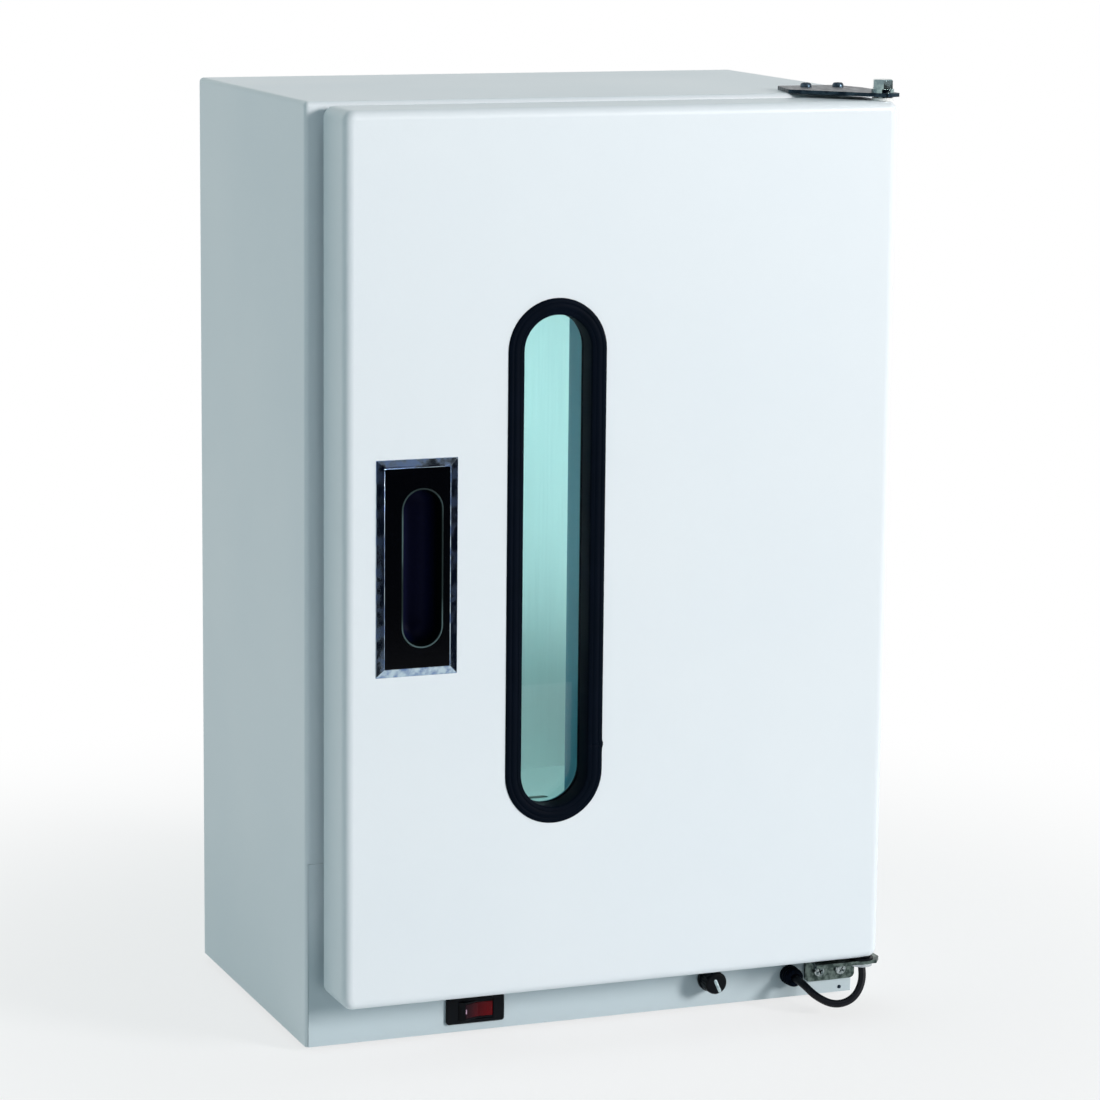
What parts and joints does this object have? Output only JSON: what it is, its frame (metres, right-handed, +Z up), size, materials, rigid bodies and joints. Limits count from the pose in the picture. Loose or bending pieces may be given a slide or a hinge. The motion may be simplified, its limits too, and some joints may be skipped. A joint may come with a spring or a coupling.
{
  "type": "uv disinfection cabinet",
  "caption": "White steel ultraviolet disinfection cabinet with a side-hung door, a slot window in black rubber, a recessed handle, and a switch and timer under the door.",
  "frame": {"origin": "centre of the overall footprint, on the surface the feet stand on", "axes": "+X to the right as seen from the front, +Y towards the back, +Z up"},
  "size_m": [0.32, 0.2354, 0.512],
  "materials": {
    "painted_steel": "white powder coat, light orange peel",
    "stainless": "fine grained stainless sheet",
    "zinc_steel": "dull zinc plate",
    "bright_zinc": "bright zinc plate",
    "reflector": "polished sheet",
    "lamp_metal": "satin drawn caps",
    "bright_trim": "bright plated frame",
    "black_gloss": "glossy black moulding",
    "black_plastic": "fine matt black moulding",
    "red_lens": "dark red translucent cap",
    "black_rubber": "smooth black rubber",
    "grey_gasket": "soft grey gasket",
    "lead_jacket": "smooth black cable jacket",
    "tinted_glass": "pale blue-green tint",
    "lamp_glass": "clear quartz tube",
    "white_plastic": "white moulding",
    "grey_plastic": "grey moulding",
    "nylon": "natural nylon",
    "board_green": "green circuit board",
    "chassis_black": "black enamel"
  },
  "bodies": {
    "cabinet": {"outer_wrap": "painted_steel", "base_pan": "painted_steel", "back_cover": "painted_steel", "back_cover_screws": "bright_zinc", "power_inlet": "black_plastic", "inlet_screws": "bright_zinc", "feet": "black_rubber", "foot_screws": "bright_zinc", "chamber_liner": "stainless", "shelf_runners": "stainless", "wire_shelf": "stainless", "floor_plate": "stainless", "lamp_tubes": "lamp_glass", "lamp_caps": "lamp_metal", "lamp_holders": "white_plastic", "lamp_reflectors": "reflector", "ballast": "chassis_black", "board_standoffs": "nylon", "control_board": "board_green", "terminal_block": "white_plastic", "switch_housing": "black_plastic", "timer_body": "black_plastic", "timer_nut": "bright_zinc", "door_switch_body": "black_plastic", "top_hinge_plate": "zinc_steel", "top_hinge_screws": "zinc_steel", "top_pivot_bolt": "zinc_steel", "bottom_hinge_bracket": "zinc_steel", "bottom_hinge_screws": "bright_zinc", "bottom_pivot_sleeve": "bright_zinc", "thrust_washer": "nylon", "lead_gland": "black_rubber", "door_lead": "lead_jacket"},
    "door": {"door_skin": "painted_steel", "door_inner_panel": "painted_steel", "door_gasket": "grey_gasket", "window_rubber": "black_rubber", "window_glass": "tinted_glass", "window_reveal": "grey_plastic", "handle_bezel": "bright_trim", "handle_plate": "black_gloss", "finger_cup": "black_gloss", "hinge_blocks": "zinc_steel", "top_bush": "nylon", "bottom_bush": "nylon", "door_lamp_trough": "reflector", "door_lamp_holders": "white_plastic", "door_lamp_tube": "lamp_glass", "door_lamp_caps": "lamp_metal"},
    "rocker": {"switch_rocker": "black_plastic", "switch_lens": "red_lens"},
    "knob": {"timer_knob": "black_plastic", "timer_shaft": "bright_zinc"},
    "plunger": {"switch_plunger": "nylon"}
  },
  "joints": [
    {"name": "door_hinge", "type": "hinge", "parent": "cabinet", "child": "door", "pos_m": [0.149, -0.10925, 0.267], "axis": [0, 0, 1], "range_deg": [0, 110]},
    {"name": "switch_rock", "type": "hinge", "parent": "cabinet", "child": "rocker", "pos_m": [-0.0649, -0.07025, 0.0149], "axis": [0, 0, 1], "range_deg": [-20, 0]},
    {"name": "timer_turn", "type": "hinge", "parent": "cabinet", "child": "knob", "pos_m": [0.0712, -0.08625, 0.0193], "axis": [0, 1, 0], "range_deg": [0, 300]},
    {"name": "plunger_slide", "type": "slide", "parent": "cabinet", "child": "plunger", "axis": [0, -1, 0], "range_m": [0, 0.004]}
  ],
  "couplings": [
    {"joint": "plunger_slide", "follows": "door_hinge", "m_per_rad": 0.002}
  ]
}
